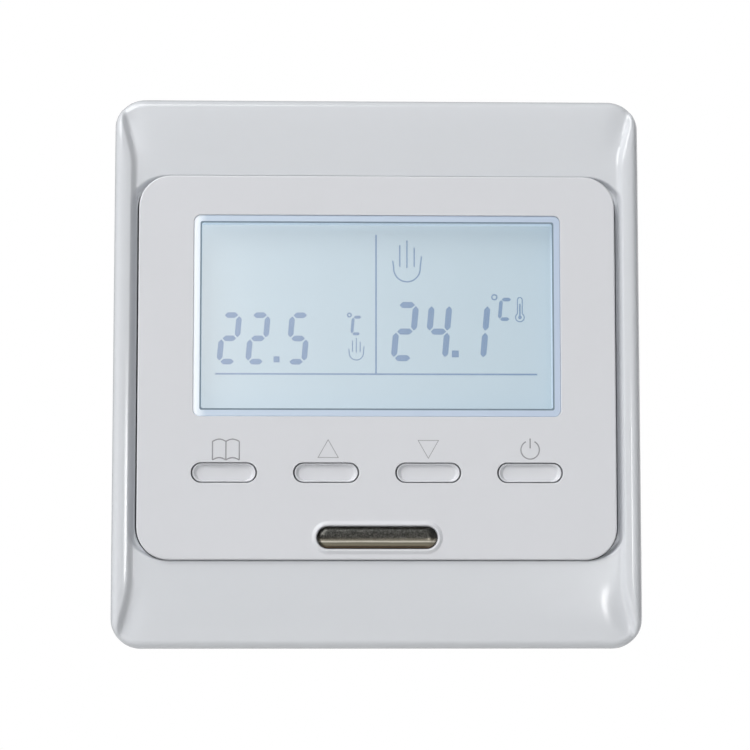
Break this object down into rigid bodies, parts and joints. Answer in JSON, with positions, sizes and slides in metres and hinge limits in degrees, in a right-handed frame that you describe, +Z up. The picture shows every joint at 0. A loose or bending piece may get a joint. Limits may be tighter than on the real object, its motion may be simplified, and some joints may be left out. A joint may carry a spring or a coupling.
{
  "type": "wall thermostat",
  "caption": "Flush-mount room thermostat: framed cover with backlit segment display, press buttons and trim bar, on a steel yoke with a terminal housing behind.",
  "frame": {"origin": "on the wall plane, midway between the two wall screw slots", "axes": "+X right as seen from the room, +Y into the wall, +Z up"},
  "size_m": [0.086, 0.0434, 0.09],
  "materials": {
    "frame_white": "smooth gloss",
    "cover_white": "fine matt texture",
    "lens_clear": "clear",
    "holder_pale": "satin",
    "display_glass": "pale blue, backlit",
    "diffuser_white": "translucent white",
    "guide_clear": "frosted",
    "strip_ivory": "satin",
    "zebra_rubber": "matt",
    "key_white": "satin",
    "plunger_black": "satin",
    "switch_steel": "stamped",
    "trim_metal": "dark polished",
    "board_green": "solder mask",
    "screw_zinc": "zinc plated",
    "chip_black": "moulded epoxy",
    "cell_steel": "polished",
    "sensor_brown": "dipped epoxy",
    "header_black": "moulded",
    "yoke_steel": "zinc plated sheet",
    "liner_film": "amber film",
    "housing_white": "fine matt texture",
    "relay_blue": "moulded",
    "film_yellow": "moulded",
    "can_sleeve": "shrink sleeve",
    "varistor_blue": "dipped epoxy",
    "fuse_brown": "moulded",
    "choke_ferrite": "ferrite and lacquered wire",
    "terminal_green": "moulded",
    "cage_brass": "plain"
  },
  "bodies": {
    "thermostat": {"outer_frame": "frame_white", "front_cover": "cover_white", "display_lens": "lens_clear", "lcd_holder": "holder_pale", "lcd_glass": "display_glass", "diffuser_sheet": "diffuser_white", "light_guide": "guide_clear", "reflector_sheet": "diffuser_white", "backlight_strip": "strip_ivory", "zebra_strips": "zebra_rubber", "push_switches": "switch_steel", "trim_bar": "trim_metal", "display_board": "board_green", "board_screws": "screw_zinc", "controller_chip": "chip_black", "backup_cell": "cell_steel", "room_sensor": "sensor_brown", "pin_header": "header_black", "mounting_yoke": "yoke_steel", "yoke_screws": "screw_zinc", "insulation_sheet": "liner_film", "rear_housing": "housing_white", "power_board": "board_green", "header_socket": "header_black", "relay": "relay_blue", "film_capacitor": "film_yellow", "electrolytic_capacitors": "can_sleeve", "varistor": "varistor_blue", "fuse": "fuse_brown", "choke": "choke_ferrite", "regulator_chip": "chip_black", "terminal_block": "terminal_green", "terminal_cages": "cage_brass", "terminal_screws": "screw_zinc"},
    "menu_key": {"button_menu": "key_white", "plunger_menu": "plunger_black"},
    "up_key": {"button_up": "key_white", "plunger_up": "plunger_black"},
    "down_key": {"button_down": "key_white", "plunger_down": "plunger_black"},
    "power_key": {"button_power": "key_white", "plunger_power": "plunger_black"}
  },
  "joints": [
    {"name": "menu_press", "type": "slide", "parent": "thermostat", "child": "menu_key", "axis": [0, 1, 0], "range_m": [0, 0.00045], "stiffness_N_per_m": 1500, "springref_m": -0.0003},
    {"name": "up_press", "type": "slide", "parent": "thermostat", "child": "up_key", "axis": [0, 1, 0], "range_m": [0, 0.00045], "stiffness_N_per_m": 1500, "springref_m": -0.0003},
    {"name": "down_press", "type": "slide", "parent": "thermostat", "child": "down_key", "axis": [0, 1, 0], "range_m": [0, 0.00045], "stiffness_N_per_m": 1500, "springref_m": -0.0003},
    {"name": "power_press", "type": "slide", "parent": "thermostat", "child": "power_key", "axis": [0, 1, 0], "range_m": [0, 0.00045], "stiffness_N_per_m": 1500, "springref_m": -0.0003}
  ]
}
